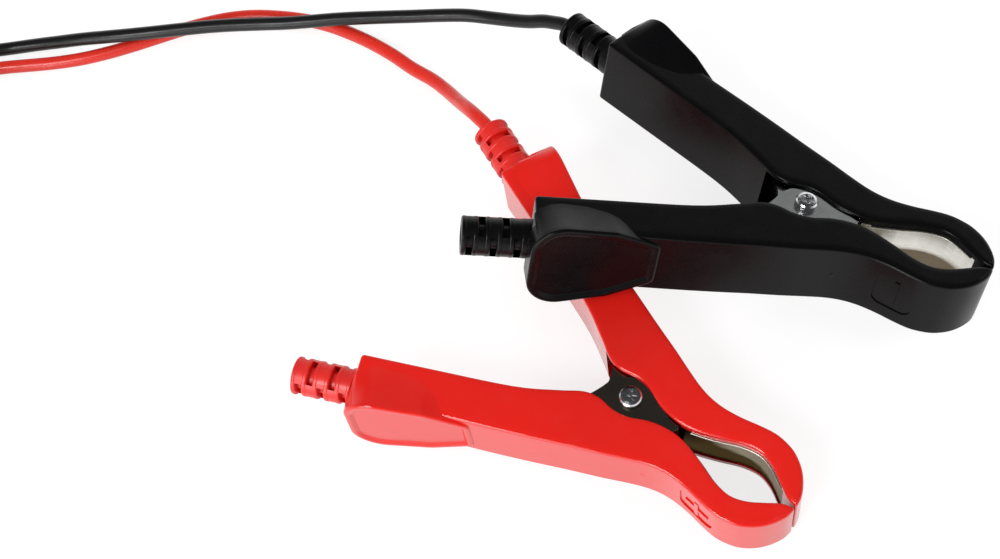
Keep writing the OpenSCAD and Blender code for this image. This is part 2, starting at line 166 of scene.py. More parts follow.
def new_piece(name, mesh, materials, sharp=40, turn_out=True):
    """Turns the mesh into an object, with its faces to the outside and smooth up to an angle."""
    if turn_out:
        bmesh.ops.recalc_face_normals(mesh, faces=mesh.faces)
    data = bpy.data.meshes.new(name)
    mesh.to_mesh(data)
    mesh.free()
    data.shade_smooth()
    data.set_sharp_from_angle(angle=math.radians(sharp))
    for material in materials:
        data.materials.append(material)
    piece = bpy.data.objects.new(name, data)
    scene.collection.objects.link(piece)
    return piece


def new_group(name, inputs):
    """A shader node group with these inputs, which gives a colour, a roughness and a height."""
    number, vector, colour = "NodeSocketFloat", "NodeSocketVector", "NodeSocketColor"
    group = bpy.data.node_groups.new(name, "ShaderNodeTree")
    for label, value in inputs.items():
        kind = {3: vector, 4: colour}[len(value)] if isinstance(value, tuple) else number
        group.interface.new_socket(label, in_out="INPUT", socket_type=kind).default_value = value
    for label, kind in (("Colour", colour), ("Roughness", number), ("Height", number)):
        group.interface.new_socket(label, in_out="OUTPUT", socket_type=kind)
    entry, exit_node = group.nodes.new("NodeGroupInput"), group.nodes.new("NodeGroupOutput")
    return group, entry.outputs, exit_node.inputs


def add_node(tree, kind, links, **settings):
    """A node with its settings; each input is a value or comes from another node's output."""
    node = tree.nodes.new(kind)
    for label, value in settings.items():
        setattr(node, label, value)
    for label, value in links.items():
        if isinstance(value, bpy.types.NodeSocket):
            tree.links.new(value, node.inputs[label])
        else:
            node.inputs[label].default_value = value
    return node


def maths(tree, operation, *values):
    """The result for two or three values, each a number or another node's output."""
    return add_node(tree, "ShaderNodeMath", dict(enumerate(values)), operation=operation).outputs[0]


def scaled(tree, colour, amount):
    links = {0: colour, "Scale": amount}
    return add_node(tree, "ShaderNodeVectorMath", links, operation="SCALE").outputs[0]


def multiplied(tree, vector, amounts):
    links = {0: vector, 1: amounts}
    return add_node(tree, "ShaderNodeVectorMath", links, operation="MULTIPLY").outputs[0]


def noise(tree, place, scale, detail, roughness=0.5):
    return add_node(tree, "ShaderNodeTexNoise", {
        "Vector": place, "Scale": scale, "Detail": detail, "Roughness": roughness}).outputs["Fac"]


def ramp(tree, value, low, high):
    """0 up to the low value, 1 from the high one, and even between them."""
    return add_node(tree, "ShaderNodeMapRange", {
        "Value": value, "From Min": low, "From Max": high}).outputs[0]


def give(tree, outputs, **values):
    for label, value in values.items():
        tree.links.new(value, outputs[label])


# Moulded or drawn plastic: a slow drift in tone, a fine ripple and grain in the surface, and a
# gloss that is duller in patches where it has been handled.
moulded_skin, taken, given = new_group("moulded skin", {
    "Colour": (0.5, 0.5, 0.5, 1), "Drift": 0.1, "Gloss": 0.2, "Handling": 0.1, "Ripple": 60,
    "Grain": 2500})
grain_depth = 0.06
place = add_node(moulded_skin, "ShaderNodeTexCoord", {}).outputs["Object"]
shade = maths(moulded_skin, "SUBTRACT", noise(moulded_skin, place, scale=35, detail=3), 0.5)
shade = maths(moulded_skin, "MULTIPLY_ADD", shade, taken["Drift"], 1)
touched = noise(moulded_skin, place, scale=140, detail=5, roughness=0.65)
touched = ramp(moulded_skin, touched, low=0.45, high=0.75)
ripple = noise(moulded_skin, place, scale=taken["Ripple"], detail=1)
grain = noise(moulded_skin, place, scale=taken["Grain"], detail=2)
give(moulded_skin, given, Colour=scaled(moulded_skin, taken["Colour"], shade),
     Roughness=maths(moulded_skin, "MULTIPLY_ADD", touched, taken["Handling"], taken["Gloss"]),
     Height=maths(moulded_skin, "MULTIPLY_ADD", grain, grain_depth, ripple))


def finish_of(name, group, values, relief, **constants):
    """A material with the group's colour, roughness and relief; the rest is the same all over."""
    material = bpy.data.materials.new(name)
    material.use_nodes = True
    tree = material.node_tree
    skin = add_node(tree, "ShaderNodeGroup", {}, node_tree=group)
    for label, value in values.items():
        skin.inputs[label].default_value = value
    shader = tree.nodes["Principled BSDF"]
    tree.links.new(skin.outputs["Colour"], shader.inputs["Base Color"])
    tree.links.new(skin.outputs["Roughness"], shader.inputs["Roughness"])
    bump = add_node(tree, "ShaderNodeBump", {
        "Height": skin.outputs["Height"], "Distance": relief, "Strength": 1})
    tree.links.new(bump.outputs["Normal"], shader.inputs["Normal"])
    for label, value in constants.items():
        shader.inputs[label.replace("_", " ")].default_value = value
    return material


red_pvc = finish_of("red PVC sheath", moulded_skin, {
    "Colour": (0.66, 0.022, 0.011, 1), "Drift": 0.25, "Gloss": 0.26, "Handling": 0.16,
    "Ripple": 150}, relief=0.0001, IOR=1.5)
black_pvc = finish_of("black PVC sheath", moulded_skin, {
    "Colour": (0.009, 0.009, 0.010, 1), "Drift": 0.3, "Gloss": 0.28, "Handling": 0.16,
    "Ripple": 150}, relief=0.0001, IOR=1.42)


def lead(name, colour, sheath, route, tail, low_z):
    """The whole lead as one tube, from the clamp's sleeve to the connector."""
    points = [tuple(c / 1000 for c in p) for p in route + stored_loops(low_z) + tail]
    path = smooth_curve(points, 4)
    mesh = bmesh.new()
    add_tube(mesh, path, lead_d / 2, 16)
    piece = new_piece(name, mesh, [sheath])
    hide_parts(colour + "_lead", colour + "_coil", colour + "_tail")
    return piece, path


red_cord, red_path = lead("red_cord", "red", red_pvc, red_route, red_tail_route, red_low)
black_cord, black_path = lead(
    "black_cord", "black", black_pvc, black_route, black_tail_route, black_low)
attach(red_cord, "root")
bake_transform(black_cord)

# ---- Boots ----
# A short tapered boot of soft PVC round each lead where it goes into the connector, moulded in
# rings so that it bends with the lead.

boot_len, boot_r, boot_taper, ring_pitch, groove = 0.022, 0.0038, 0.0009, 0.0028, 0.00045


def boot(name, sheath, path):
    """Runs back along the lead from its end, with a groove between one ring and the next."""
    back, steps, length = path[::-1], 8, 0
    stations, radii = [], []
    for a, b in zip(back, back[1:]):
        for k in range(steps):
            travelled = length + (b - a).length * k / steps
            if travelled > boot_len:
                break
            in_groove = math.cos(math.tau * travelled / ring_pitch) > 0
            stations.append(a.lerp(b, k / steps))
            radii.append(boot_r - boot_taper * travelled / boot_len - groove * in_groove)
        length += (b - a).length
    mesh = bmesh.new()
    add_tube(mesh, stations, radii, 24)
    piece = new_piece(name, mesh, [sheath], sharp=60)
    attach(piece, "root")
    return piece


red_boot = boot("red_boot", red_pvc, red_path)
black_boot = boot("black_boot", black_pvc, black_path)


# ---- Storage strap ----
# A woven hook-and-loop strap round the stored loops of both leads. Its free end laps over
# itself on the top and down the outer side.

# The ring is smaller than the tie's box and the lap larger, by strap_in and lap_out.
strap_width, strap_thick, strap_in, strap_corner = 0.009, 0.0011, 0.0012, 0.0016
lap_width, lap_thick, lap_out, lap_corner, lap_aside = 0.0088, 0.0009, 0.0006, 0.0022, 0.0002

woven_skin, taken, given = new_group("woven skin", {"Colour": (0.1, 0.1, 0.1, 1), "Threads": 1200})
place = add_node(woven_skin, "ShaderNodeTexCoord", {}).outputs["Object"]
warp, weft = [
    add_node(woven_skin, "ShaderNodeTexWave", {
        "Vector": place, "Scale": taken["Threads"], "Distortion": 0.6},
        bands_direction=threads).outputs["Fac"] for threads in ("X", "DIAGONAL")]
weave = maths(woven_skin, "MULTIPLY", warp, weft)
fuzz = noise(woven_skin, place, scale=3000, detail=2)
lit = maths(woven_skin, "MULTIPLY_ADD", weave, 0.9, 0.5)
give(woven_skin, given, Colour=scaled(woven_skin, taken["Colour"], lit),
     Roughness=maths(woven_skin, "MULTIPLY_ADD", fuzz, 0.2, 0.7),
     Height=maths(woven_skin, "MULTIPLY_ADD", fuzz, 0.3, weave))
strap_weave = finish_of("woven strap", woven_skin, {"Colour": (0.035, 0.036, 0.04, 1)},
                        relief=0.00015)


def band(mesh, line, thickness, width, closed):
    """A flat band with rolled edges along a closed or open line; its width lies along x."""
    across, half, sides = Vector((1, 0, 0)), thickness / 2, 12
    rings = []
    for i, point in enumerate(line):
        out = way_at(line, i, closed).cross(across)
        ring = []
        for k in range(sides):
            a = math.tau * (k + 0.5) / sides
            u = math.copysign(width / 2 - half, math.cos(a)) + half * math.cos(a)
            ring.append(mesh.verts.new(point + across * u + out * (half * math.sin(a))))
        rings.append(ring)
    join_rings(mesh, rings, closed)


def rounded_rectangle(width, height, radius, steps=6):
    """Corner by corner, counter-clockwise, from the middle of the right side."""
    points = []
    for i, (sx, sy) in enumerate(((1, 1), (-1, 1), (-1, -1), (1, -1))):
        for k in range(steps + 1):
            a = math.pi / 2 * (i + k / steps)
            points.append((sx * (width / 2 - radius) + radius * math.cos(a),
                           sy * (height / 2 - radius) + radius * math.sin(a)))
    return points


tie_low, tie_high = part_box("coil_tie")
tie_middle = (Vector(tie_low) + Vector(tie_high)) / 2
tie_depth, tie_height = tie_high[1] - tie_low[1], tie_high[2] - tie_low[2]
mesh = bmesh.new()
whole_way = rounded_rectangle(tie_depth - strap_in, tie_height - strap_in, strap_corner)
band(mesh, [tie_middle + Vector((0, y, z)) for y, z in whole_way], strap_thick, strap_width, True)
outer_side_and_top = rounded_rectangle(tie_depth + lap_out, tie_height + lap_out, lap_corner)[4:17]
band(mesh, [tie_middle + Vector((lap_aside, y, z)) for y, z in outer_side_and_top],
     lap_thick, lap_width, False)
strap = new_piece("storage_strap", mesh, [strap_weave], sharp=60)
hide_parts("coil_tie")
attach(strap, "root")

# ---- Connector ----
# A two-pole connector moulded in one piece of matt black plastic, with one brass pin and one
# brass socket. Raised bars across the upper face give the fingers a grip.

housing_plastic = finish_of("matt black plastic", moulded_skin, {
    "Colour": (0.02, 0.02, 0.022, 1), "Drift": 0.3, "Gloss": 0.42, "Handling": 0.15,
    "Ripple": 900, "Grain": 4000}, relief=0.00004)
grip_bars, grip_pitch, grip_sunk, grip_edge = 5, 0.0032, 0.0003, 0.00045
grip_x, first_bar_y, grip_half = -0.2691, 0.0615, (0.0075, 0.0007, 0.0007)


def dress(node, material, bevel=0.0, segments=2):
    """Gives a node of the frame its material, and takes the sharpness off its edges."""
    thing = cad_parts[node]
    thing.data.materials.clear()
    thing.data.materials.append(material)
    for spot in thing.material_slots:
        spot.material = material
    if bevel:
        edge = thing.modifiers.new("edge", "BEVEL")
        edge.width, edge.segments = bevel, segments
        edge.limit_method, edge.angle_limit = "ANGLE", math.radians(35)
        edge.harden_normals = edge.use_clamp_overlap = True


dress("connector_housing", housing_plastic, 0.0006, 3)


def add_pill(mesh, middle, half, radius):
    """A block with all its edges rolled, used for the raised bars."""
    cube = bmesh.ops.create_cube(mesh, size=1)["verts"]
    for v in cube:
        v.co = Vector(middle) + Vector([2 * h * c for h, c in zip(half, v.co)])
    edges = list(dict.fromkeys(e for v in cube for e in v.link_edges))
    bmesh.ops.bevel(mesh, geom=edges, offset=radius, segments=3, profile=0.5, affect="EDGES")


housing_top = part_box("connector_housing")[1][2]
mesh = bmesh.new()
for k in range(grip_bars):
    bar = (grip_x, first_bar_y - grip_pitch * k, housing_top - grip_sunk)
    add_pill(mesh, bar, grip_half, grip_edge)
grip = new_piece("connector_grip", mesh, [housing_plastic])
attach(grip, "root")

# Turned or stamped metal: fine lines along one way, a few deeper scratches across them, and a
# slight drift in tone. The lines' way is a rotation, and their length is their stretch.
worked_metal, taken, given = new_group("worked metal", {
    "Colour": (0.7, 0.7, 0.7, 1), "Roughness": 0.2, "Way": (0, 0, 0), "Place": (0, 0, 0),
    "Lines": (80, 3000, 3000), "Drift": 0.15, "Scratches": 0.2, "Painted shade": 0, "Shade reach": 0})
place = add_node(worked_metal, "ShaderNodeTexCoord", {}).outputs["Object"]
turned = add_node(worked_metal, "ShaderNodeMapping", {
    "Vector": place, "Rotation": taken["Way"], "Location": taken["Place"]}).outputs[0]
lines = noise(worked_metal, multiplied(worked_metal, turned, taken["Lines"]), scale=1, detail=3)
across = add_node(worked_metal, "ShaderNodeMapping", {
    "Vector": turned, "Rotation": (0.3, 0.5, 0.9), "Scale": (70, 2600, 2600)}).outputs[0]
scores = ramp(worked_metal, noise(worked_metal, across, scale=1, detail=1), low=0.66, high=0.74)
scores = maths(worked_metal, "MULTIPLY", scores, taken["Scratches"])
cloud = noise(worked_metal, place, scale=180, detail=4, roughness=0.6)
tone = maths(worked_metal, "SUBTRACT", cloud, 0.5)
tone = maths(worked_metal, "MULTIPLY_ADD", tone, taken["Drift"], 1)
toned = scaled(worked_metal, taken["Colour"], tone)

# Painted shade: brown along the lower edge, in long streaks, and higher up behind a place on the
# jaw, standing in for the shade and dark reflections low in the jaw and toward its throat.
painted_shade_tint, streaks, fades_up, reach_from = (0.2, 0.165, 0.125), (14, 14, 150), -90, 0.036
spot = add_node(worked_metal, "ShaderNodeSeparateXYZ", {0: turned}).outputs
streaked = noise(worked_metal, multiplied(worked_metal, turned, streaks), scale=1, detail=3,
                 roughness=0.6)
shade_mask = maths(worked_metal, "MULTIPLY_ADD", spot["Z"], fades_up, streaked)
behind = maths(worked_metal, "SUBTRACT", reach_from, spot["X"])
shade_mask = maths(worked_metal, "MULTIPLY_ADD", behind, taken["Shade reach"], shade_mask)
shade_mask = ramp(worked_metal, shade_mask, low=0.35, high=0.6)
shade_mask = maths(worked_metal, "MULTIPLY", shade_mask, taken["Painted shade"])
shaded_tone = multiplied(worked_metal, toned, painted_shade_tint)
toned = add_node(worked_metal, "ShaderNodeMix", {0: shade_mask, 6: toned, 7: shaded_tone},
                 data_type="RGBA").outputs[2]
dull = maths(worked_metal, "MULTIPLY_ADD", lines, 0.08, taken["Roughness"])
give(worked_metal, given, Colour=toned,
     Roughness=maths(worked_metal, "MULTIPLY_ADD", scores, 0.3, dull),
     Height=maths(worked_metal, "MULTIPLY_ADD", scores, -1, lines))

brass = finish_of("bright brass", worked_metal, {
    "Colour": (0.78, 0.56, 0.24, 1), "Roughness": 0.14, "Lines": (3000, 120, 3000)},
    relief=0.00001, Metallic=1)
dress("connector_pin", brass, 0.00015)
dress("connector_socket", brass, 0.00015)

# ---- Clamp covers ----
# Each arm is one moulding in glossy plastic: a box-section handle with a jaw, a flared thumb pad,
# a duller slotted sleeve behind for the lead, and on the jaw a sunk panel with the pole's mark.
# Sizes are in millimetres from the pivot, +x to the jaw tip and +y to the arm's own side.

bodies = {"red": ("root", "red_lever"), "black": ("black_clamp", "black_lever")}
clamps = {}
for colour, pivot, degrees in (
        ("red", (-0.0081, -0.0472, 0.01383), (0, 2.7, -50)),
        ("black", (0.0574, -0.0052, 0.02543), (-18, 6.5, -35))):
    turn = Euler([math.radians(d) for d in degrees]).to_matrix().to_4x4()
    clamps[colour] = Matrix.Translation(pivot) @ turn
# The jaw's and handle's inner and outer lines, and the outer line of the hollow for the frame.
inner_points = [
    (-81, 39), (-56, 28.5), (-31.5, 18), (-19.5, 11), (-13, 6.8), (-8, 5.6), (-2, 6.3), (3, 5.6),
    (9, 3), (15, 1.8), (21, 2.1), (29, 4.6), (36, 7.3), (42, 8.2), (47, 6.8), (51.5, 4.1),
    (56, 1.2), (59, 0.3)]
outer_points = [
    (-42, 38.4), (-30, 33.8), (-18.5, 29.2), (-7.5, 24.6), (2, 20.8), (9, 17.8), (15, 15.4),
    (20, 14.1), (25, 13.7), (31, 14.2), (37, 15.3), (42, 15.9), (46, 15.5), (50, 14.3),
    (54, 11.7), (57, 8.4), (59.3, 4.2), (60, 0.3)]
rear_corner = Vector((-75.5, 52.2))
web_points = [
    (-50, 31.7), (-44, 29.2), (-32, 24), (-20, 18.8), (-8, 14), (2, 10.8), (9, 7.6), (14, 4.7),
    (17.4, 4)]
# The middle of the handle's square rear face and its lean; its axis carries bore and sleeve.
handle_at, handle_turn = Vector((-77.4, 45.3)), math.radians(-22.8)
handle_way = Vector((math.cos(handle_turn), math.sin(handle_turn)))
axis_at, axis_way = handle_at.to_3d(), handle_way.to_3d()
axis_across = Vector((-handle_way.y, handle_way.x, 0))
lever_short = 4.0
# Edges of the block, the rebate for the jaw strip, and the hollow. Cutters reach past the face.
sharp_corner = math.radians(35)
edge_r, crown_rise, corner_room = 0.9, 0.18, 2.3
rebate_from, rebate_to, rebate_deep, rebate_half = 14.9, 54, 2.75, 8.6
hollow_rear, hollow_front, hollow_half, ears_half, web_thick = -15.5, 20, 10.02, 7.75, 1.6
past_face = 3
# Thumb pad: circles of its rim (place, half apart, radius), floor (drawn in, depth), flare's foot.
pad_at, pad_turn = Vector((-73.6, 57.1)), math.radians(-28.9)
pad_circles = [(10, 6.5, 10), (24, 8.5, 6), (37.5, 6.5, 2.5)]
pad_floor = [(1.7, 0), (1.9, -0.07), (2.9, -0.75), (3.15, -0.84), (5.5, -0.86)]
flare_foot = [
    (2, -12), (4, -14.2), (7, -15.8), (11, -16), (18, -14.8), (24, -12.4), (28, -9.8), (30, -7),
    (32, -4), (36, -3)]
foot_sunk, rear_slope, rear_from, beside_half, beside_depth = 0.15, 0.6, 3, 12.2, -7
# Sleeve: rings and slots, the thin lining inside them, and the bridges from ring to ring.
sleeve_r, sleeve_len, into_handle, bore_r, bore_deep = 6.15, 21.8, 2.5, 2.45, 18
ring_edge, ring_bore, lining_r = 0.6, 3.4, 3.9
slot_count, slot_pitch, slot_len, rear_ring = 5, 3.7, 1.9, 1.6
bridge_r, bridge_floor, bridge_lap = 6.03, 4.25, 0.4
# The pole's mark on the outer face, and the mould's nub (radius, height).
mark_x, mark_z, panel_half, panel_corner, panel_deep = 34.5, 0.3, 6.5, 3, 0.4
upright_half, cross_half, bar_half, bar_edge, bar_foot, bar_top = 4.9, 4.6, 0.8, 0.3, -0.6, -0.02
nub_x, nub_levels = 15, ((0.9, -0.3), (0.9, 0.03), (0.7, 0.12))


def half_height(x):
    """Half the arm's height: 12.4 at the rear of the handle, falling to 11 at the tip."""
    return 12.4 - 1.4 * (x + 82) / 143


def cut_rear(outline, short):
    """The outline without what lies behind the handle's square rear face."""
    kept = []
    for a, b in zip(outline, outline[1:] + outline[:1]):
        da, db = (p.dot(handle_way) - handle_at.dot(handle_way) - short for p in (a, b))
        if da >= 0:
            kept.append(a)
        if (da >= 0) != (db >= 0):
            kept.append(a.lerp(b, da / (da - db)))
    return kept


def with_neighbours(outline):
    return zip(outline[-1:] + outline[:-1], outline, outline[1:] + outline[:1])


def clear_corners(outline):
    """The outline without the points that lie close beside a sharp corner."""
    sharp = [b for a, b, c in with_neighbours(outline)
             if math.pi - (a - b).angle(c - b) > sharp_corner]
    return [p for p in outline
            if p in sharp or min((p - q).length for q in sharp) > corner_room], sharp


def inset(outline, sharp, distance, radius):
    """Draws the outline in, by a distance that may change with x, and rounds its sharp corners."""
    moved = []
    for a, b, c in with_neighbours(outline):
        n1 = Vector((a.y - b.y, b.x - a.x)).normalized()
        n2 = Vector((b.y - c.y, c.x - b.x)).normalized()
        n = (n1 + n2).normalized()
        moved.append(b + n * (distance(b.x) / max(n.dot(n1), 0.35)))
    rounded = []
    for corner, (a, b, c) in zip(outline, with_neighbours(moved)):
        if corner not in sharp:
            rounded.append(b)
            continue
        to_a, to_c = a - b, c - b
        reach = min(radius, 0.45 * to_a.length, 0.45 * to_c.length)
        start, end = b + to_a.normalized() * reach, b + to_c.normalized() * reach
        for t in (k / 6 for k in range(7)):
            rounded.append(start * (1 - t) ** 2 + b * 2 * t * (1 - t) + end * t * t)
    return rounded


def stack(mesh, levels):
    """Closes a skin over rings of equal count, with a flat face on each end."""
    rings = [[mesh.verts.new(p) for p in level] for level in levels]
    for a, b in zip(rings, rings[1:]):
        for k in range(len(a)):
            mesh.faces.new((a[k - 1], a[k], b[k], b[k - 1]))
    mesh.faces.new(rings[0][::-1])
    mesh.faces.new(rings[-1])


def crown_in(x):
    """The crown starts 2.5 mm in from the edge, and less over the last 9 mm before the thin tip."""
    return edge_r + 1.6 * min(max((58.5 - x) / 9, 0.05), 1)


def arm_block(mesh, short):
    """The handle and jaw, with rounded edges and the top and bottom very slightly crowned."""
    inner, outer = smooth_curve(inner_points[:-1] + [(60, 0.3)], 5), smooth_curve(outer_points, 5)
    outline = cut_rear(inner[:-1] + outer[::-1] + [rear_corner], short)
    outline, sharp = clear_corners(outline)
    levels = []
    for a in (math.pi / 2 * k / 5 for k in range(6)):
        inwards, drop = edge_r * (1 - math.cos(a)), crown_rise + edge_r * (1 - math.sin(a))
        ring = inset(outline, sharp, lambda x: inwards, 1.3 - 0.8 * inwards)
        levels.append([(p.x, p.y, half_height(p.x) - drop) for p in ring])
    crown = inset(outline, sharp, crown_in, 0.5)
    levels.append([(p.x, p.y, half_height(p.x)) for p in crown])
    stack(mesh, [[(x, y, -z) for x, y, z in level] for level in levels[::-1]] + levels)


def prism(mesh, outline, low, high):
    stack(mesh, [[(x, y, low) for x, y in outline], [(x, y, high) for x, y in outline]])


def shifted(line, by):
    """The same line moved to its left."""
    ways = [way_at(line, i) for i in range(len(line))]
    return [p + by * Vector((-along.y, along.x)) for p, along in zip(line, ways)]


def outer_face(x):
    """The point and the outward way of the jaw's outer face at a given x."""
    line = smooth_curve(outer_points, 5)
    for a, b in zip(line, line[1:]):
        if a.x <= x <= b.x:
            point = a.lerp(b, (x - a.x) / (b.x - a.x))
            return point, Vector((a.y - b.y, b.x - a.x)).normalized()


def face_block(mesh, half_x, half_z, corner, low, high):
    """A block at the mark's place that follows the outer face, between two distances from it."""
    levels, steps = [], 16
    for k in range(steps + 1):
        x = -half_x * math.cos(math.pi * k / steps)
        past = max(abs(x) - half_x + corner, 0)
        h = half_z - corner + math.sqrt(max(corner ** 2 - past ** 2, 0.0001))
        point, out = outer_face(mark_x + x)
        levels.append([(point.x + out.x * away, point.y + out.y * away, z + mark_z)
                       for z, away in ((-h, low), (h, low), (h, high), (-h, high))])
    stack(mesh, levels)


def arm_hollows(mesh, short):
    """Cutters: the jaw's rebate, the hollow round the metalwork, the bore, the mark's panel."""
    inner, web = smooth_curve(inner_points, 2), smooth_curve(web_points, 2)
    jaw = [p for p in inner if rebate_from < p.x < rebate_to]
    rebate = shifted(jaw, -past_face) + shifted(jaw, rebate_deep)[::-1]
    prism(mesh, rebate, -rebate_half, rebate_half)
    gap = shifted([p for p in inner if hollow_rear < p.x < hollow_front], -past_face)
    gap = ([Vector((hollow_rear, 0))] + gap)[::-1]
    slope = (web[8] - web[6]).normalized()  # the web runs straight on to the hollow's rear
    rear_end = web[6] + slope * ((hollow_rear - web[6].x) / slope.x)
    web = [rear_end] + [p for p in web if p.x > hollow_rear]
    lined = [Vector((hollow_rear, rear_end.y - web_thick))] + shifted(web, -web_thick)[1:]
    prism(mesh, lined + gap, -hollow_half - 0.01, hollow_half + 0.01)
    for low, high in ((-hollow_half, -ears_half), (ears_half, hollow_half)):
        prism(mesh, web + gap, low, high)
    start = handle_at + handle_way * (short - 2)
    bore_end = (start.x + bore_deep * handle_way.x, start.y + bore_deep * handle_way.y, 0)
    add_tube(mesh, [(start.x, start.y, 0), bore_end], bore_r, 24)
    face_block(mesh, panel_half, panel_half, panel_corner, -panel_deep, panel_deep)


def pad_ring(draw_in):
    """The pad's drop-shaped rim round three circles, drawn in, with points 1.5 mm apart or less."""
    ring = []
    for a in round_angles(96):
        c, s = math.cos(a), math.sin(a)
        x, z, r = max(pad_circles, key=lambda q: q[0] * c + q[1] * abs(s) + q[2])
        beside = math.copysign(z, s) if abs(s) > 1e-6 else 0
        ring.append(Vector((x + r * c, beside + r * s, c, s)))
    filled = []
    for a, b in zip(ring, ring[1:] + ring[:1]):
        parts = math.ceil((b - a).length / 1.5)
        filled += [a.lerp(b, k / parts) for k in range(parts)]
    return [(x - draw_in * c, z - draw_in * s) for x, z, c, s in filled]


def thumb_pad(mesh, short):
    """A flare that rises from the handle's top and bottom, a rolled rim, and a sunk floor."""
    origin = pad_at + handle_way * short
    along = Vector((math.cos(pad_turn), math.sin(pad_turn)))
    out = Vector((-along.y, along.x))

    def placed(s, t, z):
        p = origin + along * s + out * t
        return p.x, p.y, z

    def foot(s, z):
        """Where the flare starts: a hair inside the handle's face, lower at the rear, and beside
        the handle well inside it."""
        if abs(z) < beside_half:
            return s, beside_depth, z
        s = min(max(s, flare_foot[0][0]), flare_foot[-1][0])
        for (s0, t0), (s1, t1) in zip(flare_foot, flare_foot[1:]):
            if s0 <= s <= s1:
                t = t0 + (t1 - t0) * (s - s0) / (s1 - s0)
        p = origin + along * s + out * t
        inside = foot_sunk + rear_slope * max(rear_from - s, 0)
        return s, t, math.copysign(half_height(p.x) - inside, z)

    rim = pad_ring(0)
    levels = []
    for v in (k / 8 for k in range(9)):
        level = []
        for s, z in rim:
            s0, t0, z0 = foot(s, z)
            t, rise = t0 + (-edge_r - t0) * v, v ** 1.2
            level.append(placed(s0 + (s - s0) * v, t, z0 + (z - z0) * rise))
        levels.append(level)
    for a in (math.pi / 2 * k / 5 for k in range(1, 6)):
        ring = pad_ring(edge_r * (1 - math.cos(a)))
        levels.append([placed(s, -edge_r + edge_r * math.sin(a), z) for s, z in ring])
    for draw_in, t in pad_floor:
        levels.append([placed(s, t, z) for s, z in pad_ring(draw_in)])
    stack(mesh, [level[::-1] for level in levels])


def lathe(mesh, profile, start, sides=40):
    """Turns a closed profile of (along, radius) about the handle's axis."""
    rings = []
    for a in round_angles(sides):
        rings.append([mesh.verts.new(start + axis_way * x + axis_across * (r * math.cos(a))
                                     + Vector((0, 0, r * math.sin(a)))) for x, r in profile])
    join_rings(mesh, rings, closed=True)


def sleeve(mesh, short):
    """Rings on a thin lining, joined by pairs of bridges, each a quarter turned from the last."""
    start = axis_at + axis_way * short
    slots = [-sleeve_len + rear_ring + slot_pitch * i for i in range(slot_count)]
    corner = [(ring_edge * (1 - math.sin(q)), ring_edge * (1 - math.cos(q)))
              for q in (math.pi / 2 * k / 4 for k in range(5))]
    for a, b in zip([-sleeve_len] + [c + slot_len for c in slots], slots + [into_handle]):
        profile = [(a + x, sleeve_r - r) for x, r in corner[::-1]]
        profile += [(b - x, sleeve_r - r) for x, r in corner]
        lathe(mesh, profile + [(b, ring_bore), (a, ring_bore)], start)
    lining = [(x, lining_r) for x in (-sleeve_len + 0.2, into_handle)]
    lathe(mesh, lining + [(x, bore_r) for x, r in lining[::-1]], start)
    half_turn = math.acos(bridge_floor / sleeve_r)
    face = [bridge_r * Vector((math.cos(q), math.sin(q)))
            for q in (-half_turn + 2 * half_turn * k / 8 for k in range(9))]
    for i, c in enumerate(slots):
        for sign in (-1, 1):
            ends = []
            for x in (c - bridge_lap, c + slot_len + bridge_lap):
                ends.append([start + axis_way * x + axis_across * (sign * (p.x if i % 2 else p.y))
                             + Vector((0, 0, sign * (p.y if i % 2 else p.x))) for p in face])
            stack(mesh, ends)


def nub(mesh):
    """The small round stub left on the outer face by the mould."""
    point, out = outer_face(nub_x)
    stack(mesh, [[(point.x + out.x * away + out.y * r * math.cos(a),
                   point.y + out.y * away - out.x * r * math.cos(a), r * math.sin(a))
                  for a in round_angles(16)] for r, away in nub_levels])


def set_in_clamp(mesh, colour, side=1):
    """From millimetres at the pivot to the clamp's place. Side -1 is the lever's, mirrored."""
    scale = Matrix.Diagonal((0.001, 0.001 * side, 0.001, 1))
    bmesh.ops.transform(mesh, matrix=clamps[colour] @ scale, verts=mesh.verts)


def cover(name, node, colour, side, short, plastics, body):
    """The block with its hollows cut out, then the pad, sleeve, mark and nub as closed skins."""
    block, cutters = bmesh.new(), bmesh.new()
    arm_block(block, short)
    arm_hollows(cutters, short)
    solid, cutter = new_piece(name, block, plastics[:1]), new_piece(name + "_cut", cutters, [])
    cut = solid.modifiers.new("hollow", "BOOLEAN")
    cut.object, cut.operation, cut.solver, cut.use_self = cutter, "DIFFERENCE", "EXACT", True
    bpy.context.view_layer.update()
    carved = bpy.data.meshes.new_from_object(
        solid.evaluated_get(bpy.context.evaluated_depsgraph_get()))
    for thing in (solid, cutter):
        bpy.data.objects.remove(thing)
    mesh = bmesh.new()
    mesh.from_mesh(carved)
    bpy.data.meshes.remove(carved)
    after_block = len(mesh.faces)
    thumb_pad(mesh, short)
    after_pad = len(mesh.faces)
    sleeve(mesh, short)
    mesh.faces.ensure_lookup_table()
    for face in mesh.faces[after_pad:]:
        face.material_index = 1
    face_block(mesh, bar_half, upright_half, bar_edge, bar_foot, bar_top)
    if colour == "red":
        face_block(mesh, cross_half, bar_half, bar_edge, bar_foot, bar_top - 0.02)
    nub(mesh)
    mesh.faces.ensure_lookup_table()
    bmesh.ops.recalc_face_normals(mesh, faces=mesh.faces[after_block:])
    set_in_clamp(mesh, colour, side)
    if side < 0:
        bmesh.ops.reverse_faces(mesh, faces=mesh.faces)
    piece = new_piece(name, mesh, plastics, sharp=38, turn_out=False)
    flats = piece.modifiers.new("flats", "WEIGHTED_NORMAL")
    flats.weight, flats.keep_sharp = 100, True
    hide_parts(node)
    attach(piece, body)


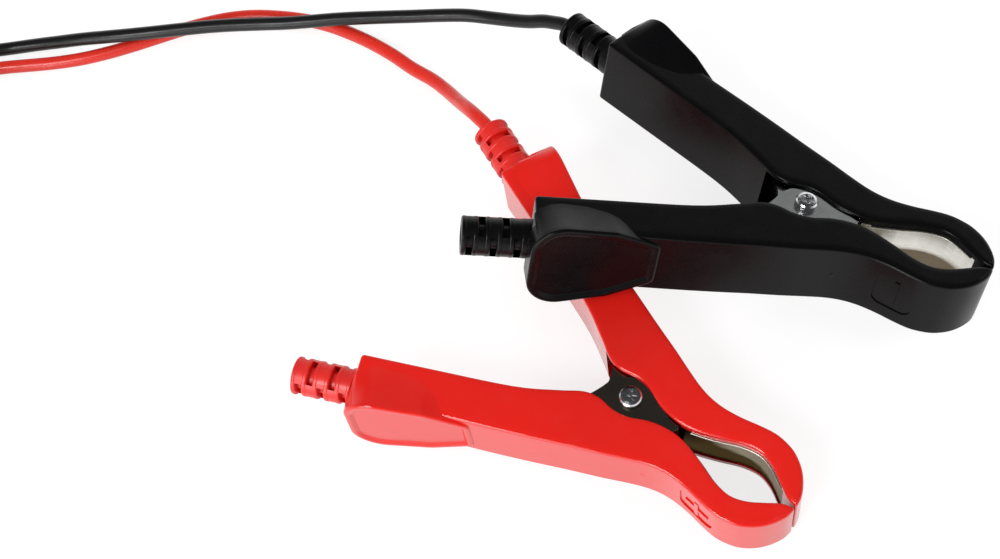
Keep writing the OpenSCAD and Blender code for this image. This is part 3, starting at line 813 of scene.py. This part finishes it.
covers_of = {}
for colour, tone, gloss, drift, ior, sleeve_gloss, sleeve_drift, sleeve_ior in (
        ("red", (0.72, 0.014, 0.009, 1), 0.12, 0.1, 1.58, 0.34, 0.15, 1.58),
        ("black", (0.003, 0.003, 0.0035, 1), 0.26, 0.25, 1.26, 0.3, 0.25, 1.32)):
    glossy = finish_of("glossy " + colour + " plastic", moulded_skin, {
        "Colour": tone, "Drift": drift, "Gloss": gloss, "Handling": 0.1, "Ripple": 45},
        relief=0.00006, IOR=ior)
    dulled = finish_of("dull " + colour + " sleeve", moulded_skin, {
        "Colour": tone, "Drift": sleeve_drift, "Gloss": sleeve_gloss, "Handling": 0.2,
        "Ripple": 120}, relief=0.0001, IOR=sleeve_ior)
    covers_of[colour] = [glossy, dulled]
for colour, (fixed, lever) in bodies.items():
    for part, side, short, body in (("fixed", 1, 0, fixed), ("lever", -1, lever_short, lever)):
        cover(colour + "_" + part + "_cover", colour + "_" + part + "_arm", colour, side, short,
              covers_of[colour], body)

# ---- Clamp metalwork ----
# The frames and washers are bright zinc-plated steel stampings, held by zinc-plated pivot screws
# and nuts. The jaw strips are nickel-plated, with painted shade in brown along their lower edge,
# and a bright lip folded along one edge. Only the lips are added to the frame's own shapes.

# The red clamp's zinc, strip and tint colours are darker and browner than the black clamp's for the
# same metal: painted shade and reflection for the dark its metal mirrors from its angle. Its
# strips' painted shade also reaches higher toward the jaw's rear.
for colour, zinc_and_painted_shade, strip, glance_and_painted_shade, reach in (
        ("red", (0.40, 0.35, 0.29, 1), (0.40, 0.36, 0.28, 1), (0.48, 0.45, 0.40, 1), 45),
        ("black", (0.84, 0.87, 0.86, 1), (0.80, 0.78, 0.72, 1), (0.8, 0.78, 0.72, 1), 0)):
    from_frame = clamps[colour].inverted()
    turn, jaw_place = tuple(from_frame.to_euler()), tuple(from_frame.translation)
    zinc = finish_of(colour + " clamp zinc", worked_metal, {
        "Colour": zinc_and_painted_shade, "Roughness": 0.1, "Way": turn, "Lines": (120, 2600, 2600),
        "Drift": 0.5}, relief=0.000004, Metallic=1)
    nickel = finish_of(colour + " clamp nickel", worked_metal, {
        "Colour": strip, "Roughness": 0.24, "Way": turn, "Place": jaw_place,
        "Lines": (90, 90, 900), "Drift": 0.4, "Scratches": 0.3, "Painted shade": 1, "Shade reach": reach},
        relief=0.000008, Metallic=1, Specular_Tint=glance_and_painted_shade)
    bright = finish_of(colour + " clamp screw", worked_metal, {
        "Colour": (0.80, 0.81, 0.83, 1), "Roughness": 0.16, "Way": turn,
        "Lines": (900, 900, 300), "Drift": 0.1}, relief=0.00013, Metallic=1)
    for part, metal, bevel in (
            ("fixed_frame", zinc, 0.0003), ("lever_frame", zinc, 0.0003),
            ("pivot_washer", zinc, 0.0001), ("fixed_liner", nickel, 0.0003),
            ("lever_liner", nickel, 0.0003), ("pivot_screw", bright, 0.00012),
            ("pivot_nut", bright, 0.00012), ("lug_screw", bright, 0.00012)):
        dress(colour + "_" + part, metal, bevel)

lip_metal = finish_of("bright strip lip", worked_metal, {
    "Colour": (0.80, 0.77, 0.70, 1), "Roughness": 0.36, "Lines": (400, 400, 400), "Drift": 0.2},
    relief=0.000008, Metallic=1)
lip_from, lip_to, lip_z, lip_r, lip_out = 20.5, 53, 8.2, 0.25, -0.3
lip_line = [p for p in smooth_curve(inner_points, 4) if lip_from < p.x < lip_to]
lip_section = [(0.7, lip_z - lip_r), (0.2, lip_z - lip_r)]
for k in range(9):
    a = math.pi * (k / 8 - 0.5)
    lip_section.append((lip_out - lip_r * math.cos(a), lip_z + lip_r * math.sin(a)))
lip_section += [(0.2, lip_z + lip_r), (0.7, lip_z + lip_r)]
for colour, (fixed, lever) in bodies.items():
    for part, side, body in (("fixed", 1, fixed), ("lever", -1, lever)):
        mesh = bmesh.new()
        edges = [(shifted(lip_line, out), z) for out, z in lip_section]
        stack(mesh, [[(edge[i].x, edge[i].y, z) for edge, z in edges]
                     for i in range(len(lip_line))])
        set_in_clamp(mesh, colour, side)
        lip = new_piece(colour + "_" + part + "_liner_lip", mesh, [lip_metal])
        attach(lip, body)

# ---- Springs ----
# A torsion spring of 1.4 mm drawn wire round each pivot screw: five turns, with a leg along
# the inside of each arm. The real spring's turns take up the movement when the arms are squeezed;
# the wire here is built in one pose and stays fixed.

spring_steel = finish_of("drawn spring wire", worked_metal, {
    "Colour": (0.45, 0.46, 0.48, 1), "Roughness": 0.24, "Lines": (900, 900, 200)},
    relief=0.00001, Metallic=1)
wire_r, coil_mean, leg, leg_turn, climb, turns = 0.7, 4.15, 20, math.radians(147.7), 11.6, 5
first = leg_turn - math.pi / 2
sweep, steps = math.tau * turns + 2 * first, 24 * turns
coil_start = Vector((coil_mean * math.cos(first), coil_mean * math.sin(first), climb / 2))
leg_end = Vector((leg * math.cos(leg_turn), leg * math.sin(leg_turn), 0))
coil = []
for f in (i / steps for i in range(steps + 1)):
    a = first - sweep * f
    coil.append((coil_mean * math.cos(a), coil_mean * math.sin(a), climb * (0.5 - f)))
top_leg = [coil_start + leg_end * f for f in (1, 0.7, 0.4, 0.15)]
low_leg = [Vector((p.x, -p.y, -p.z)) for p in reversed(top_leg)]
for colour, (fixed, lever) in bodies.items():
    mesh = bmesh.new()
    add_tube(mesh, top_leg + coil + low_leg, wire_r, 12)
    set_in_clamp(mesh, colour)
    spring = new_piece(colour + "_spring_wire", mesh, [spring_steel])
    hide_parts(colour + "_spring")
    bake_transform(spring)

# ---- Lead ends ----
# Inside each fixed arm's sleeve the lead's sheath runs on to its cut end, with the bare twisted
# copper strands going into a crimp lug held by a small screw.

copper = finish_of("bare copper", worked_metal, {
    "Colour": (0.72, 0.34, 0.18, 1), "Roughness": 0.2, "Lines": (700, 700, 700)},
    relief=0.00001, Metallic=1)
tinned = finish_of("tinned copper", worked_metal, {
    "Colour": (0.70, 0.58, 0.47, 1), "Roughness": 0.22, "Lines": (300, 1500, 1500)},
    relief=0.00001, Metallic=1)
sheath_at = [-sleeve_len, -10, 0, 13.4, 13.9, 14]
sheath_r = [2.4, 2.4, 2.4, 2.4, 2.3, 2.0]
strand_from, strand_step, strand_r, strand_lay = 13.5, 0.75, 0.44, 0.87
for colour, sheath, body in (("red", red_pvc, "root"), ("black", black_pvc, "black_clamp")):
    mesh = bmesh.new()
    add_tube(mesh, [axis_at + axis_way * x for x in sheath_at], sheath_r, 24)
    for k in range(7):
        strand = []
        for i in range(13):
            a, r = math.tau * (k / 6 + i / 16), 0 if k == 6 else strand_lay
            strand.append(axis_at + axis_way * (strand_from + strand_step * i)
                          + axis_across * (r * math.cos(a)) + Vector((0, 0, r * math.sin(a))))
        add_tube(mesh, strand, strand_r, 8, slot=1)
    set_in_clamp(mesh, colour)
    stub = new_piece(colour + "_sheath_end", mesh, [sheath, copper])
    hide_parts(colour + "_cable_end")
    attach(stub, body)
    dress(colour + "_cable_lug", tinned, 0.00015)

# ---- Floor and light ----
# A white sheet that stays white and keeps a faint shadow, a pale surround that is dark
# overhead, and four soft lamps. The key and side lamps also show as highlights.

mesh = bmesh.new()
bmesh.ops.create_grid(mesh, x_segments=1, y_segments=1, size=4)
floor = new_piece("floor", mesh, [])
sheet = bpy.data.materials.new("white sheet")
sheet.use_nodes = True
tree = sheet.node_tree
tree.nodes.remove(tree.nodes["Principled BSDF"])
rays = add_node(tree, "ShaderNodeLightPath", {})
seen = maths(tree, "MAXIMUM", rays.outputs["Is Camera Ray"], rays.outputs["Is Glossy Ray"])
seen = maths(tree, "MAXIMUM", seen, rays.outputs["Is Transmission Ray"])
plain = add_node(tree, "ShaderNodeBsdfDiffuse", {"Color": (0.75, 0.75, 0.75, 1)}).outputs[0]
dimmed = add_node(tree, "ShaderNodeBsdfDiffuse", {"Color": (0.3, 0.3, 0.3, 1)}).outputs[0]
glow = add_node(tree, "ShaderNodeEmission", {"Color": (1, 1, 1, 1), "Strength": 0.78}).outputs[0]
white = add_node(tree, "ShaderNodeAddShader", {0: dimmed, 1: glow}).outputs[0]
mixed = add_node(tree, "ShaderNodeMixShader", {0: seen, 1: plain, 2: white}).outputs[0]
tree.links.new(mixed, tree.nodes["Material Output"].inputs["Surface"])
floor.data.materials.append(sheet)

world = bpy.data.worlds.new("surround")
scene.world = world
world.use_nodes = True
tree = world.node_tree
tree.nodes.clear()
direction = add_node(tree, "ShaderNodeTexCoord", {}).outputs["Generated"]
height = add_node(tree, "ShaderNodeSeparateXYZ", {0: direction}).outputs["Z"]
overhead = add_node(tree, "ShaderNodeMapRange", {
    "Value": height, "From Min": 0.05, "From Max": 0.52, "To Min": 0.95, "To Max": 0.05}).outputs[0]
rays = add_node(tree, "ShaderNodeLightPath", {})
even = maths(tree, "MULTIPLY", rays.outputs["Is Diffuse Ray"], 0.5)
level = add_node(tree, "ShaderNodeMix", {
    "Factor": rays.outputs["Is Glossy Ray"], "A": even, "B": overhead}).outputs["Result"]
level = maths(tree, "MAXIMUM", level, rays.outputs["Is Camera Ray"])
backdrop = add_node(tree, "ShaderNodeBackground", {"Color": (1, 1, 1, 1), "Strength": level})
tree.links.new(backdrop.outputs[0], add_node(tree, "ShaderNodeOutputWorld", {}).inputs["Surface"])

for name, place, size, power, in_highlights in (
        ("key_lamp", (-0.9, -0.7, 1.3), 0.5, 11, True),
        ("fill_lamp", (1.1, -0.5, 1.0), 0.7, 5, False),
        ("back_lamp", (0.2, 1.2, 1.2), 0.8, 6, False),
        ("side_lamp", (-1.0, -0.9, 0.35), 0.8, 8, True)):
    lamp = bpy.data.objects.new(name, bpy.data.lights.new(name, "AREA"))
    scene.collection.objects.link(lamp)
    lamp.data.size, lamp.data.energy = size, power
    lamp.location = place
    lamp.rotation_euler = (-Vector(place)).to_track_quat("-Z", "Y").to_euler()
    lamp.visible_glossy = in_highlights

scene.view_settings.view_transform = "Standard"
